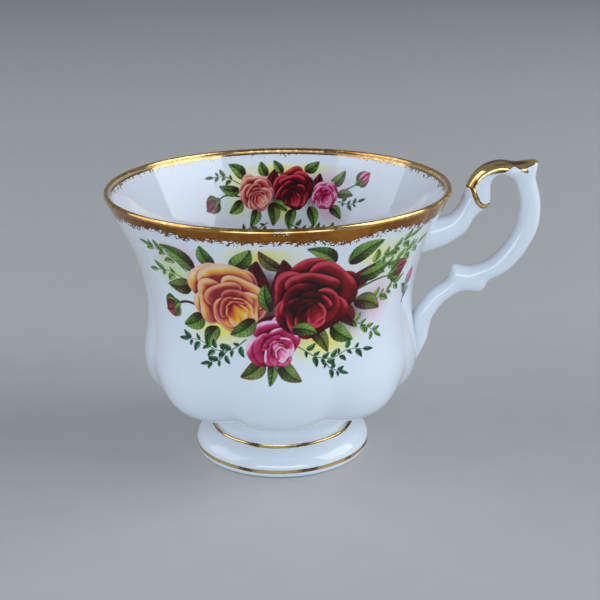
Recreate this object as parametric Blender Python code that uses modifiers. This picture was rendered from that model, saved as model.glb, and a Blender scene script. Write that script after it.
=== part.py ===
"""A footed bone-china teacup: lobed bowl, pedestal foot, scroll handle, gilding and rose transfers.

The cup's axis runs along Z, the handle points along +X and the main transfer faces -Y.
The origin is on the table, under the middle of the whole cup with its handle.
"""

import math

import bmesh
import bpy
import numpy as np
from mathutils import Matrix

MM = 0.001

# Sizes of the whole cup.
CUP_HEIGHT = 72.3 * MM
RIM_RADIUS = 44.3 * MM
HANDLE_REACH = 67.6 * MM
AXIS_X = (RIM_RADIUS - HANDLE_REACH) / 2

# The bowl: rings of its outside from the foot joint up to the lip.
# Each has a height, a mean radius, the depth of the lobes and the thickness of the wall there.
BOWL_RINGS = (
    (14.8 * MM, 18.8 * MM, 0.3 * MM, 3.4 * MM),
    (15.5 * MM, 25.6 * MM, 2.4 * MM, 3.2 * MM),
    (17.2 * MM, 30.4 * MM, 3.6 * MM, 3.0 * MM),
    (20.2 * MM, 33.6 * MM, 3.2 * MM, 2.8 * MM),
    (24.2 * MM, 35.3 * MM, 2.1 * MM, 2.6 * MM),
    (29.0 * MM, 35.8 * MM, 1.3 * MM, 2.5 * MM),
    (34.0 * MM, 35.1 * MM, 1.0 * MM, 2.4 * MM),
    (39.0 * MM, 34.6 * MM, 0.8 * MM, 2.3 * MM),
    (45.0 * MM, 34.8 * MM, 0.6 * MM, 2.3 * MM),
    (51.5 * MM, 36.0 * MM, 0.4 * MM, 2.2 * MM),
    (58.0 * MM, 38.1 * MM, 0.2 * MM, 2.0 * MM),
    (64.5 * MM, 41.0 * MM, 0.0, 1.7 * MM),
    (71.3 * MM, RIM_RADIUS, 0.0, 1.3 * MM),
)
LOBES = 8
LOBE_MEAN = 0.64
CREASE_SOFTNESS = 0.1
LIP_ROUND = CUP_HEIGHT - BOWL_RINGS[-1][0]
BOWL_SEGMENTS = 64
RINGS_PER_SPAN = 2
LIP_STEPS = 3

# The foot: its turned outline, as radius and height, down the outside and up the hollow inside.
FOOT_OUTLINE = (
    (21.4 * MM, 14.5 * MM),
    (20.7 * MM, 12.0 * MM),
    (19.9 * MM, 9.6 * MM),
    (19.3 * MM, 8.0 * MM),
    (19.1 * MM, 7.2 * MM),
    (19.4 * MM, 6.6 * MM),
    (20.3 * MM, 5.9 * MM),
    (21.7 * MM, 4.9 * MM),
    (22.9 * MM, 3.3 * MM),
    (23.4 * MM, 2.0 * MM),
    (23.3 * MM, 0.9 * MM),
    (22.7 * MM, 0.0),
    (21.0 * MM, 0.0),
    (20.3 * MM, 0.8 * MM),
    (17.5 * MM, 7.0 * MM),
    (16.4 * MM, 11.5 * MM),
    (16.3 * MM, 14.5 * MM),
)
FOOT_OUTSIDE_POINTS = 11

# The handle: cross-sections from the upper joint over the scroll and round to the lower joint.
# Each has its outer edge (x, z), its inner edge (x, z) and half of its depth along Y, in millimetres,
# with x measured from the cup's axis.
HANDLE_SECTIONS = (
    (38.0, 62.4, 35.0, 52.8, 3.3),
    (43.2, 63.2, 42.0, 54.9, 3.0),
    (45.4, 64.6, 46.0, 57.0, 2.9),
    (46.7, 66.6, 49.0, 59.7, 2.9),
    (47.3, 68.3, 51.0, 63.2, 2.9),
    (47.9, 70.0, 54.3, 66.3, 3.0),
    (48.5, 71.6, 54.6, 69.6, 3.1),
    (50.2, 74.4, 54.8, 72.2, 3.2),
    (53.0, 76.6, 56.0, 73.7, 3.3),
    (57.0, 77.6, 57.6, 74.0, 3.3),
    (61.2, 77.2, 59.6, 73.1, 3.1),
    (66.2, 77.3, 61.0, 71.4, 2.8),
    (66.0, 74.2, 61.8, 69.4, 2.7),
    (66.8, 70.2, 62.3, 67.0, 2.7),
    (67.6, 65.2, 62.2, 63.9, 2.7),
    (67.2, 60.2, 61.4, 60.4, 2.7),
    (65.3, 55.4, 59.7, 56.9, 2.7),
    (61.6, 50.1, 56.8, 53.2, 2.7),
    (57.6, 46.9, 53.6, 50.7, 2.7),
    (54.8, 45.3, 51.2, 49.9, 2.7),
    (53.4, 42.9, 48.4, 49.7, 2.7),
    (49.2, 42.8, 45.3, 49.9, 2.8),
    (46.4, 42.1, 44.6, 46.9, 2.8),
    (43.6, 40.1, 40.9, 43.8, 2.8),
    (41.5, 37.5, 37.6, 40.0, 2.9),
    (40.0, 34.3, 34.6, 36.2, 3.0),
    (39.2, 30.2, 32.8, 31.0, 3.1),
    (37.6, 25.4, 32.0, 26.6, 3.1),
)
RINGS_PER_SECTION = 2
HANDLE_SIDES = 16
HANDLE_SQUARENESS = 2.3

# Fired decoration: how far a film stands off the china, and how thick it is.
FILM_GAP = 0.15 * MM
FILM = 0.15 * MM
JOINT_GAP = 0.3 * MM

# Gilding: the bands' lower edges outside and inside the rim, the sections of the handle that are gilded,
# how far round each of those the gold reaches, and the foot's two lines as bottom and top heights.
RIM_BAND_OUTSIDE = 68.4 * MM
RIM_BAND_INSIDE = 70.6 * MM
GILDED_SECTIONS = (5, 11)
GILDED_HALF_ANGLE = math.radians(100)
FOOT_LINES = {
    "foot_gilding_upper": (6.6 * MM, 7.5 * MM),
    "foot_gilding_lower": (1.4 * MM, 2.5 * MM),
}

# Transfers: side of the wall, direction they face, and the half-angle and heights that they cover.
TRANSFERS = {
    "front_transfer": (1, -87, 66, 26.5 * MM, 65.5 * MM),
    "back_transfer": (1, 90, 34, 33.0 * MM, 62.0 * MM),
    "inner_transfer": (-1, 89, 36, 42.0 * MM, 68.0 * MM),
}
BOWL_WAIST = 35 * MM
PUNCH_SEGMENTS = 32

# Materials: colour, roughness and metallic value.
CHINA = ("glazed_bone_china", (0.86, 0.88, 0.92), 0.08, 0.0)
GOLD = ("burnished_gold", (0.83, 0.56, 0.22), 0.22, 1.0)
FRONT_COLOURS = ("front_rose_colours", (0.45, 0.05, 0.07), 0.1, 0.0)
BACK_COLOURS = ("back_rose_colours", (0.62, 0.16, 0.28), 0.1, 0.0)
INNER_COLOURS = ("inner_rose_colours", (0.50, 0.07, 0.12), 0.1, 0.0)


def clear_scene():
    for obj in list(bpy.data.objects):
        bpy.data.objects.remove(obj, do_unlink=True)


def make_collection(name):
    collection = bpy.data.collections.new(name)
    bpy.context.scene.collection.children.link(collection)
    return collection


def make_material(finish):
    name, colour, roughness, metallic = finish
    found = bpy.data.materials.get(name)
    if found:
        return found
    material = bpy.data.materials.new(name)
    material.use_nodes = True
    shader = material.node_tree.nodes["Principled BSDF"]
    shader.inputs["Base Color"].default_value = (*colour, 1.0)
    shader.inputs["Roughness"].default_value = roughness
    shader.inputs["Metallic"].default_value = metallic
    return material


def add_object(name, mesh, collection, finish):
    """Puts a mesh in the scene as an object that stands on the cup's axis."""
    mesh.shade_smooth()
    mesh.materials.append(make_material(finish))
    obj = bpy.data.objects.new(name, mesh)
    obj.location.x = AXIS_X
    collection.objects.link(obj)
    return obj


def smooth_rows(rows, steps):
    """Rows of a table with others between them, on the Catmull-Rom curve through them."""
    rows = np.array(rows)
    padded = np.vstack([2 * rows[0] - rows[1], rows, 2 * rows[-1] - rows[-2]])
    found = []
    for before, start, end, after in zip(padded, padded[1:], padded[2:], padded[3:]):
        for t in np.arange(steps) / steps:
            pull = (end - before) / 2
            push = (after - start) / 2
            ease = t * t * (3 - 2 * t)
            slopes = pull * t * (1 - t) ** 2 - push * t * t * (1 - t)
            found.append(start + (end - start) * ease + slopes)
    return np.array(found + [rows[-1]])


def lobe_wave(azimuth):
    """The lobes' swelling in a direction: round over each lobe, with a crease between two."""
    return np.sqrt(np.cos(LOBES / 2 * azimuth) ** 2 + CREASE_SOFTNESS**2) - LOBE_MEAN


def wall_normals(rings):
    """Outward (radial, upward) directions of the bowl's wall at each of its rings."""
    along = np.gradient(rings[:, :2], axis=0)
    across = np.stack([along[:, 0], -along[:, 1]], axis=1)
    return across / np.linalg.norm(across, axis=1)[:, None]


def stood_off(rings, distance):
    """The same rings moved square to the wall, outwards."""
    normals = wall_normals(rings)
    moved = rings.copy()
    moved[:, 0] += normals[:, 1] * distance
    moved[:, 1] += normals[:, 0] * distance
    return moved


def bowl_rings():
    """Rings of the outside and of the inside, as (height, radius, lobe depth), each from the bottom up.
    The plain inside needs only half as many."""
    rings = smooth_rows(BOWL_RINGS, RINGS_PER_SPAN)
    inward = -rings[:, 3:] * wall_normals(rings)
    inside = rings[:, :3].copy()
    inside[:, 0] += inward[:, 1]
    inside[:, 1] += inward[:, 0]
    inside[-1, 0] = rings[-1, 0]
    return rings[:, :3], inside[::2]


def ring_points(height, radius, lobe_depth, segments=BOWL_SEGMENTS):
    azimuth = np.arange(segments) * 2 * math.pi / segments
    reach = radius + lobe_depth * lobe_wave(azimuth)
    return np.stack([reach * np.cos(azimuth), reach * np.sin(azimuth), np.full(segments, height)], axis=1)


def loft(name, rings, low_pole=None, high_pole=None, closed=False):
    """A mesh through rings of points. Each end is closed by one face, or by a fan round a pole.
    A closed loft joins its last ring to its first instead."""
    cage = bmesh.new()
    loops = [[cage.verts.new(point) for point in ring] for ring in rings]
    if closed:
        loops.append(loops[0])
    count = len(loops[0])
    for low, high in zip(loops, loops[1:]):
        for i in range(count):
            j = (i + 1) % count
            cage.faces.new((low[i], low[j], high[j], high[i]))
    ends = () if closed else ((loops[0], low_pole), (loops[-1], high_pole))
    for loop, pole in ends:
        if pole is None:
            cage.faces.new(loop)
            continue
        centre = cage.verts.new(pole)
        for i in range(count):
            cage.faces.new((loop[i], loop[(i + 1) % count], centre))
    bmesh.ops.recalc_face_normals(cage, faces=cage.faces)
    mesh = bpy.data.meshes.new(name)
    cage.to_mesh(mesh)
    cage.free()
    return mesh


def lip_rings(outside, inside):
    """The half-round lip from the outside of the rim over to its inside."""
    height, outer = outside[-1, :2]
    inner = inside[-1, 1]
    turns = np.arange(1, LIP_STEPS + 1) * math.pi / (LIP_STEPS + 1)
    middle = (outer + inner) / 2
    half = (outer - inner) / 2
    return [(height + LIP_ROUND * math.sin(turn), middle + half * math.cos(turn), 0.0) for turn in turns]


def add_bowl(collection):
    outside, inside = bowl_rings()
    rings = [*outside, *lip_rings(outside, inside), *inside[::-1]]
    low_pole = (0, 0, outside[0, 0])
    high_pole = (0, 0, inside[0, 0])
    mesh = loft("bowl", [ring_points(*ring) for ring in rings], low_pole, high_pole)
    return add_object("bowl", mesh, collection, CHINA)


def turned(name, outline, collection, finish):
    """A closed outline of (radius, height) points, turned about the cup's axis."""
    cage = bmesh.new()
    corners = [cage.verts.new((radius, 0, height)) for radius, height in outline]
    for corner, following in zip(corners, corners[1:] + corners[:1]):
        cage.edges.new((corner, following))
    mesh = bpy.data.meshes.new(name)
    cage.to_mesh(mesh)
    cage.free()
    obj = add_object(name, mesh, collection, finish)
    screw = obj.modifiers.new("Turn", "SCREW")
    screw.steps = BOWL_SEGMENTS
    screw.render_steps = BOWL_SEGMENTS
    screw.use_merge_vertices = True
    screw.merge_threshold = 0.00001
    screw.use_smooth_shade = True
    return obj


def add_foot(collection):
    return turned("foot", FOOT_OUTLINE, collection, CHINA)


def handle_rows():
    return smooth_rows(HANDLE_SECTIONS, RINGS_PER_SECTION)


def section_points(row, turns, stand_off=0.0):
    """Points round one cross-section of the handle, at angles measured from its outer edge."""
    outer = np.array([row[0], row[1]]) * MM
    inner = np.array([row[2], row[3]]) * MM
    middle = (outer + inner) / 2
    half_width = np.linalg.norm(outer - inner) / 2 + stand_off
    half_depth = row[4] * MM + stand_off
    outward = (outer - inner) / np.linalg.norm(outer - inner)
    cosine = np.cos(turns)
    sine = np.sin(turns)
    across = np.sign(cosine) * np.abs(cosine) ** (2 / HANDLE_SQUARENESS) * half_width
    depth = np.sign(sine) * np.abs(sine) ** (2 / HANDLE_SQUARENESS) * half_depth
    return np.stack([middle[0] + across * outward[0], depth, middle[1] + across * outward[1]], axis=1)


def bowl_cutter(collection):
    """The space that the bowl takes up, with the joint's gap round it."""
    outside, _ = bowl_rings()
    grown = stood_off(outside, JOINT_GAP)
    mesh = loft("bowl_space", [ring_points(*ring) for ring in grown])
    cutter = bpy.data.objects.new("bowl_space", mesh)
    cutter.location.x = AXIS_X
    cutter.hide_render = True
    cutter.display_type = "WIRE"
    collection.objects.link(cutter)
    return cutter


def add_handle(collection, cutter):
    turns = np.arange(HANDLE_SIDES) * 2 * math.pi / HANDLE_SIDES
    mesh = loft("handle", [section_points(row, turns) for row in handle_rows()])
    handle = add_object("handle", mesh, collection, CHINA)
    cut = handle.modifiers.new("Meet the bowl", "BOOLEAN")
    cut.operation = "DIFFERENCE"
    cut.solver = "EXACT"
    cut.object = cutter
    return handle


def add_handle_gilding(collection):
    """A thin cap of gold over the outer side of the scroll."""
    first, last = (section * RINGS_PER_SECTION for section in GILDED_SECTIONS)
    turns = np.linspace(-GILDED_HALF_ANGLE, GILDED_HALF_ANGLE, HANDLE_SIDES // 2 + 1)
    rings = []
    for row in handle_rows()[first : last + 1]:
        over = section_points(row, turns, FILM_GAP + FILM)
        under = section_points(row, turns, FILM_GAP)
        rings.append([*over, *under[::-1]])
    mesh = loft("handle_gilding", rings)
    return add_object("handle_gilding", mesh, collection, GOLD)


def band_outline(outline):
    """A thin band that stands off a stretch of the china's (radius, height) outline."""
    path = np.array(outline)
    along = np.gradient(path, axis=0)
    across = np.stack([-along[:, 1], along[:, 0]], axis=1)
    across /= np.linalg.norm(across, axis=1)[:, None]
    over = path + across * (FILM_GAP + FILM)
    under = path + across * FILM_GAP
    return [*over, *under[::-1]]


def add_rim_gilding(collection):
    """The gold band from the outside of the rim, over the lip and down a little on the inside."""
    outside, inside = bowl_rings()
    up = [(radius, height) for height, radius, _ in outside if height > RIM_BAND_OUTSIDE]
    over = [(radius, height) for height, radius, _ in lip_rings(outside, inside)]
    drop = (inside[-1, 0] - RIM_BAND_INSIDE) / (inside[-1, 0] - inside[-2, 0])
    edge = inside[-1] + (inside[-2] - inside[-1]) * drop
    down = [(inside[-1, 1], inside[-1, 0]), (edge[1], edge[0])]
    outline = band_outline((up + over + down)[::-1])
    return turned("rim_gilding", outline, collection, GOLD)


def foot_stretch(low, high):
    """The foot's outside between two heights, from the top down."""
    outside = np.array(FOOT_OUTLINE[:FOOT_OUTSIDE_POINTS])[::-1]
    corners = [height for _, height in FOOT_OUTLINE[:FOOT_OUTSIDE_POINTS] if low < height < high]
    heights = [high, *corners, low]
    return [(float(np.interp(height, outside[:, 1], outside[:, 0])), height) for height in heights]


def add_foot_gilding(name, collection):
    outline = band_outline(foot_stretch(*FOOT_LINES[name]))
    return turned(name, outline, collection, GOLD)


def punch(name, collection):
    """A long oval bar that marks a transfer's outline, from the cup's axis out through the wall."""
    facing, half_angle, low, high = TRANSFERS[name][1:]
    cage = bmesh.new()
    bmesh.ops.create_cone(
        cage, cap_ends=True, segments=PUNCH_SEGMENTS, radius1=1, radius2=1, depth=RIM_RADIUS * 2
    )
    mesh = bpy.data.meshes.new(name + "_outline")
    half_width = BOWL_WAIST * math.sin(math.radians(half_angle))
    stretch = Matrix.Diagonal((half_width, (high - low) / 2, 1, 1))
    slide_out = Matrix.Translation((0, 0, RIM_RADIUS))
    stand_up = Matrix.Rotation(math.radians(90), 4, "X")
    turn = Matrix.Rotation(math.radians(facing + 90), 4, "Z")
    cage.transform(turn @ stand_up @ slide_out @ stretch)
    cage.to_mesh(mesh)
    cage.free()
    bar = bpy.data.objects.new(name + "_outline", mesh)
    bar.location = (AXIS_X, 0, (low + high) / 2)
    bar.hide_render = True
    bar.display_type = "WIRE"
    collection.objects.link(bar)
    return bar


def add_transfer(name, collection, cutters, finish):
    """An oval of printed film that follows the bowl's wall."""
    side = TRANSFERS[name][0]
    outside, inside = bowl_rings()
    wall = outside if side > 0 else inside
    near = stood_off(wall, side * FILM_GAP)
    far = stood_off(wall, side * (FILM_GAP + FILM))
    rings = [ring_points(*ring) for ring in [*near, *far[::-1]]]
    mesh = loft(name, rings, closed=True)
    film = add_object(name, mesh, collection, finish)
    cut = film.modifiers.new("Oval outline", "BOOLEAN")
    cut.operation = "INTERSECT"
    cut.solver = "EXACT"
    cut.object = punch(name, cutters)
    return film


def build():
    clear_scene()
    teacup = make_collection("teacup")
    cutters = make_collection("cutters")
    add_bowl(teacup)
    add_foot(teacup)
    add_handle(teacup, bowl_cutter(cutters))
    add_rim_gilding(teacup)
    add_handle_gilding(teacup)
    for name in FOOT_LINES:
        add_foot_gilding(name, teacup)
    add_transfer("front_transfer", teacup, cutters, FRONT_COLOURS)
    add_transfer("back_transfer", teacup, cutters, BACK_COLOURS)
    add_transfer("inner_transfer", teacup, cutters, INNER_COLOURS)


build()
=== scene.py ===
"""The looks of the footed bone-china teacup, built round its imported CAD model."""

import math

import bpy
import numpy as np
from mathutils import Matrix, Vector


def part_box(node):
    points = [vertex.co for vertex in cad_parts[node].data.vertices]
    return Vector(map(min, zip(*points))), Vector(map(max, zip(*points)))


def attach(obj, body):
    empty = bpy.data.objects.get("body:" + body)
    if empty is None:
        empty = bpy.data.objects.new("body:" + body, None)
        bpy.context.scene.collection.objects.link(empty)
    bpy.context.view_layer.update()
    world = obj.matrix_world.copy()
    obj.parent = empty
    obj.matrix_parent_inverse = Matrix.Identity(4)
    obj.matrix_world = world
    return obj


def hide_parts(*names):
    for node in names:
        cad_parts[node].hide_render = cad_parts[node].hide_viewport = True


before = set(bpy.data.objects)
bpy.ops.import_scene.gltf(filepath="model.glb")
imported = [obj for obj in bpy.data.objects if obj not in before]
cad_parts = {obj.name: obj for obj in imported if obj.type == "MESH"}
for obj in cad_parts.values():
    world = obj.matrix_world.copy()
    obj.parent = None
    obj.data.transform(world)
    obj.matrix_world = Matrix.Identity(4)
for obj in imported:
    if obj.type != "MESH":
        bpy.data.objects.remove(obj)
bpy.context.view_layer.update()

MM = 0.001
BODY = "root"
FOOT_LOW, FOOT_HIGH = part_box("foot")
AXIS = (FOOT_LOW + FOOT_HIGH) / 2

# ---------------------------------------------------------------- shape of the china, in millimetres

# Rings of the bowl's outside: height, mean radius, depth of the lobes, thickness of the wall.
BOWL_RINGS = (
    (14.8, 18.8, 0.3, 3.4),
    (15.5, 25.6, 2.4, 3.2),
    (17.2, 30.4, 3.6, 3.0),
    (20.2, 33.6, 3.2, 2.8),
    (24.2, 35.3, 2.1, 2.6),
    (29.0, 35.8, 1.3, 2.5),
    (34.0, 35.1, 1.0, 2.4),
    (39.0, 34.6, 0.8, 2.3),
    (45.0, 34.8, 0.6, 2.3),
    (51.5, 36.0, 0.4, 2.2),
    (58.0, 38.1, 0.2, 2.0),
    (64.5, 41.0, 0.0, 1.7),
    (71.3, 44.3, 0.0, 1.3),
)
LOBES = 8
LOBE_MEAN = 0.64  # close to the mean height of the lobes' wave, and taken off it
CREASE_SOFTNESS = 0.18
LIP_ROUND = 1.0
WALL_STEPS = 120
LIP_STEPS = 14
AROUND = 320

# The foot's turned outline: radius and height, down the outside and up the hollow inside.
FOOT_OUTLINE = (
    (21.6, 15.6), (20.6, 12.0), (19.7, 9.8), (18.9, 8.3), (18.5, 7.4), (18.8, 6.7), (20.0, 6.3),
    (21.8, 5.4), (23.1, 3.8), (23.5, 2.2), (23.4, 0.7), (22.8, 0.0), (21.0, 0.0), (20.2, 0.8),
    (17.6, 7.0), (16.4, 11.5), (16.3, 15.6),
)
CORNER_CUTS = 3

# The handle's cross-sections, down from the upper joint: outer edge (x, z), inner edge (x, z) and half of
# the depth along Y.
HANDLE_SECTIONS = (
    (39.1, 62.3, 35.6, 53.0, 3.4),
    (43.2, 63.2, 42.0, 54.9, 3.0),
    (45.4, 64.6, 46.0, 57.0, 2.9),
    (46.7, 66.6, 49.0, 59.7, 2.9),
    (47.3, 68.3, 51.0, 63.2, 2.9),
    (47.9, 70.0, 54.3, 66.3, 3.0),
    (48.5, 71.6, 54.6, 69.6, 3.1),
    (50.2, 74.4, 54.8, 72.2, 3.2),
    (53.0, 76.6, 56.0, 73.7, 3.3),
    (57.0, 77.6, 57.6, 74.0, 3.3),
    (61.2, 77.2, 59.6, 73.1, 3.1),
    (66.2, 77.3, 61.0, 71.4, 2.8),
    (66.0, 74.2, 61.8, 69.4, 2.7),
    (66.8, 70.2, 62.3, 67.0, 2.7),
    (67.6, 65.2, 62.2, 63.9, 2.7),
    (67.2, 60.2, 61.4, 60.4, 2.7),
    (65.3, 55.4, 59.7, 56.9, 2.7),
    (61.6, 50.1, 56.8, 53.2, 2.7),
    (57.6, 46.9, 53.6, 50.7, 2.7),
    (54.8, 45.3, 51.2, 49.9, 2.7),
    (53.4, 42.9, 48.4, 49.7, 2.7),
    (49.2, 42.8, 45.3, 49.9, 2.8),
    (46.4, 42.1, 44.6, 46.9, 2.8),
    (43.6, 40.1, 40.9, 43.8, 2.8),
    (41.5, 37.5, 37.6, 40.0, 2.9),
    (40.0, 34.3, 35.0, 36.2, 3.0),
    (39.2, 30.2, 34.8, 31.0, 3.1),
    (36.2, 23.6, 34.4, 25.4, 2.6),
)
HANDLE_STEPS = 340
HANDLE_SIDES = 72
HANDLE_SQUARENESS = 2.3
# The raised inner edge of the scroll: a line of (x, z), how far it stands up and how wide it is.
SCROLL_EDGE = ((49.7, 71.0), (50.3, 69.0), (51.1, 67.3), (52.0, 66.4), (52.9, 66.1), (54.0, 66.3))
SCROLL_EDGE_RISE = 0.3
SCROLL_EDGE_WIDTH = 0.55

FILM_LIFT = 0.035  # how far gold and colours stand off the china


def spline(rows, steps, spaced_by=2):
    """Rows evenly spaced on the natural cubic spline through the given ones."""
    rows = np.array(rows, float)
    gaps = np.linalg.norm(np.diff(rows[:, :spaced_by], axis=0), axis=1)
    knots = np.concatenate([[0], np.cumsum(gaps)])
    last = len(rows) - 1
    system = np.eye(last + 1)
    right = np.zeros_like(rows)
    for i in range(1, last):
        system[i, i - 1 : i + 2] = gaps[i - 1], 2 * (gaps[i - 1] + gaps[i]), gaps[i]
        right[i] = 6 * ((rows[i + 1] - rows[i]) / gaps[i] - (rows[i] - rows[i - 1]) / gaps[i - 1])
    bend = np.linalg.solve(system, right)
    where = np.linspace(0, knots[-1], steps)
    i = np.clip(np.searchsorted(knots, where, side="right") - 1, 0, last - 1)
    gap = gaps[i][:, None]
    a = (knots[i + 1] - where)[:, None] / gap
    b = 1 - a
    curve = ((a**3 - a) * bend[i] + (b**3 - b) * bend[i + 1]) * gap**2 / 6
    return a * rows[i] + b * rows[i + 1] + curve


def interpolated(rows, at, places):
    """Rows at the given places of a table whose own rows lie at others."""
    return np.stack([np.interp(places, at, column) for column in np.transpose(rows)], axis=-1)


def lengths_along(line):
    """Distance from a line's start to each of its points."""
    return np.concatenate([[0], np.cumsum(np.linalg.norm(np.diff(line, axis=0), axis=1))])


def square_to(path):
    """Unit directions square to a path in a plane, on its left."""
    along = np.gradient(path, axis=0)
    across = np.stack([-along[:, 1], along[:, 0]], axis=1)
    return across / np.linalg.norm(across, axis=1)[:, None]


def lobe_wave(azimuth):
    """How far the lobes stand out at each direction: round on top, with a soft crease between two."""
    return np.sqrt(np.cos(LOBES / 2 * azimuth) ** 2 + CREASE_SOFTNESS**2) - LOBE_MEAN


def bowl_path():
    """The bowl's wall as rows of radius, height and lobe depth: up outside, over the lip, down inside."""
    outside = spline(BOWL_RINGS, WALL_STEPS)
    outside = outside[:, [1, 0, 2, 3]]
    inside = outside[:, :3].copy()
    inside[:, :2] += square_to(outside[:, :2]) * outside[:, 3:]
    inside[-1, 1] = outside[-1, 1]  # the lip springs from points at one height
    outer, inner = outside[-1, 0], inside[-1, 0]
    turns = np.linspace(0, math.pi, LIP_STEPS + 2)[1:-1]
    middle, half = (outer + inner) / 2, (outer - inner) / 2
    top = outside[-1, 1]
    lip = [(middle + half * math.cos(t), top + LIP_ROUND * math.sin(t), 0.0) for t in turns]
    return np.vstack([outside[:, :3], lip, inside[::-1]])


BOWL_PATH = bowl_path()
OUTSIDE = BOWL_PATH[:WALL_STEPS]
INSIDE = BOWL_PATH[:-WALL_STEPS - 1:-1]


def turned_points(path, azimuth, lift=0.0):
    """Points on a turned, lobed wall: one row for each row of the path, one column for each direction."""
    path = np.asarray(path, float)
    moved = path[:, :2] - square_to(path[:, :2]) * lift
    lobes = path[:, 2:3] if path.shape[1] > 2 else np.zeros((len(path), 1))
    reach = moved[:, :1] + lobes * lobe_wave(azimuth)[None, :]
    height = np.repeat(moved[:, 1:2], len(azimuth), axis=1)
    return np.stack([reach * np.cos(azimuth), reach * np.sin(azimuth), height], axis=2)


def handle_rows(steps=HANDLE_STEPS):
    """The handle's cross-sections, evenly spaced from the upper joint to the lower one."""
    return spline(HANDLE_SECTIONS, steps, spaced_by=4)


def nearest_on_line(points, line):
    """Distance from each point to a line of straight stretches, and the nearest place on it from 0 to 1."""
    line = np.asarray(line, float)
    gap, place = np.full(points.shape[:-1], np.inf), np.zeros(points.shape[:-1])
    for k, (start, end) in enumerate(zip(line, line[1:])):
        run = end - start
        share = np.clip(((points - start) @ run) / (run @ run), 0, 1)
        found = np.linalg.norm(points - start - share[..., None] * run, axis=-1)
        place = np.where(found < gap, (k + share) / (len(line) - 1), place)
        gap = np.minimum(found, gap)
    return gap, place


def distance_to_line(points, line):
    return nearest_on_line(points, line)[0]


def handle_points(rows, turns, lift=0.0):
    """Points on the handle's skin: one row for each cross-section, one column for each angle round it."""
    outer, inner = rows[:, None, 0:2], rows[:, None, 2:4]
    outward = (outer - inner) / np.linalg.norm(outer - inner, axis=2, keepdims=True)
    half_width = np.linalg.norm(outer - inner, axis=2) / 2
    half_depth = rows[:, 4:5]
    cosine, sine = np.cos(turns)[None, :], np.sin(turns)[None, :]
    power = 2 / HANDLE_SQUARENESS
    across = np.sign(cosine) * np.abs(cosine) ** power
    depth = np.sign(sine) * np.abs(sine) ** power
    flat = (outer + inner) / 2 + outward * (across * half_width)[..., None]
    edge = np.exp(-((distance_to_line(flat, SCROLL_EDGE) / SCROLL_EDGE_WIDTH) ** 2))
    swell = lift + SCROLL_EDGE_RISE * edge
    flat = flat + outward * (cosine * swell)[..., None]
    return np.stack([flat[..., 0], depth * half_depth + sine * swell, flat[..., 1]], axis=2)


# ---------------------------------------------------------------- meshes


def linked(name, data):
    """An object in the scene for a mesh, a light or a camera."""
    obj = bpy.data.objects.new(name, data)
    bpy.context.scene.collection.objects.link(obj)
    return obj


def finish_mesh(name, vertices, faces, material, colours=None):
    """An object on the cup's axis from vertices in millimetres."""
    mesh = bpy.data.meshes.new(name)
    mesh.from_pydata((np.asarray(vertices) * MM + np.array([AXIS.x, AXIS.y, 0])).tolist(), [], faces)
    if colours is not None:
        layer = mesh.color_attributes.new("paint", "FLOAT_COLOR", "POINT")
        rgba = np.concatenate([colours, np.ones((len(colours), 1))], axis=1).astype(np.float32)
        layer.data.foreach_set("color", rgba.ravel())
    mesh.validate()
    mesh.shade_smooth()
    mesh.materials.append(material)
    return linked(name, mesh)


def skin(name, points, material, poles=True):
    """A closed skin over rings of points. Each end closes on a pole at its middle, or the rings meet."""
    rings, around = points.shape[:2]
    vertices = list(points.reshape(-1, 3))
    step = np.arange(around)
    following = (step + 1) % around
    faces = []
    pairs = [(i, i + 1) for i in range(rings - 1)]
    if not poles:
        pairs.append((rings - 1, 0))
    for low, high in pairs:
        a, b = low * around + step, low * around + following
        c, d = high * around + following, high * around + step
        faces += np.stack([a, b, c, d], axis=1).tolist()
    if poles:
        for ring, turn in ((0, -1), (rings - 1, 1)):
            centre = len(vertices)
            vertices.append(points[ring].mean(axis=0))
            base = ring * around
            ends = ((base + step), (base + following))[::turn]
            faces += np.stack([ends[0], ends[1], np.full(around, centre)], axis=1).tolist()
    return finish_mesh(name, vertices, faces, material)


def film(name, points, keep, colours, material):
    """A film over a grid of points, cut along the line where keep turns from above zero to below."""
    rows, cols = keep.shape
    flat_points, flat_keep = points.reshape(-1, 3), keep.ravel()
    flat_colours = colours.reshape(-1, 3)
    inside = keep > 0
    count = inside[:-1, :-1].astype(int) + inside[1:, :-1] + inside[:-1, 1:] + inside[1:, 1:]
    number = np.full(rows * cols, -1)
    used = np.flatnonzero(inside.ravel())
    number[used] = np.arange(len(used))
    vertices, paints = list(flat_points[used]), list(flat_colours[used])
    faces = []
    full_row, full_col = np.nonzero(count == 4)
    first = full_row * cols + full_col
    faces += np.stack([number[first + k] for k in (0, 1, cols + 1, cols)], axis=1).tolist()
    crossings = {}

    def crossing(a, b):
        """The point on a cell's side where the film ends, made once for both cells."""
        key = (a, b) if a < b else (b, a)
        if key not in crossings:
            share = flat_keep[key[0]] / (flat_keep[key[0]] - flat_keep[key[1]])
            crossings[key] = len(vertices)
            vertices.append(flat_points[key[0]] * (1 - share) + flat_points[key[1]] * share)
            paints.append(flat_colours[key[0]] * (1 - share) + flat_colours[key[1]] * share)
        return crossings[key]

    for row, col in zip(*np.nonzero((count > 0) & (count < 4))):
        start = row * cols + col
        corners = (start, start + 1, start + cols + 1, start + cols)
        outline = []
        for a, b in zip(corners, corners[1:] + corners[:1]):
            if flat_keep[a] > 0:
                outline.append(number[a])
            if (flat_keep[a] > 0) != (flat_keep[b] > 0):
                outline.append(crossing(a, b))
        if len(outline) > 2:
            faces.append([int(i) for i in outline])
    return finish_mesh(name, vertices, faces, material, np.array(paints))


# ---------------------------------------------------------------- painting, in millimetres along the wall

CANVAS_STEP = 0.14
BACK_STEP = 0.16
NOISE_CELLS = 256


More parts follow.
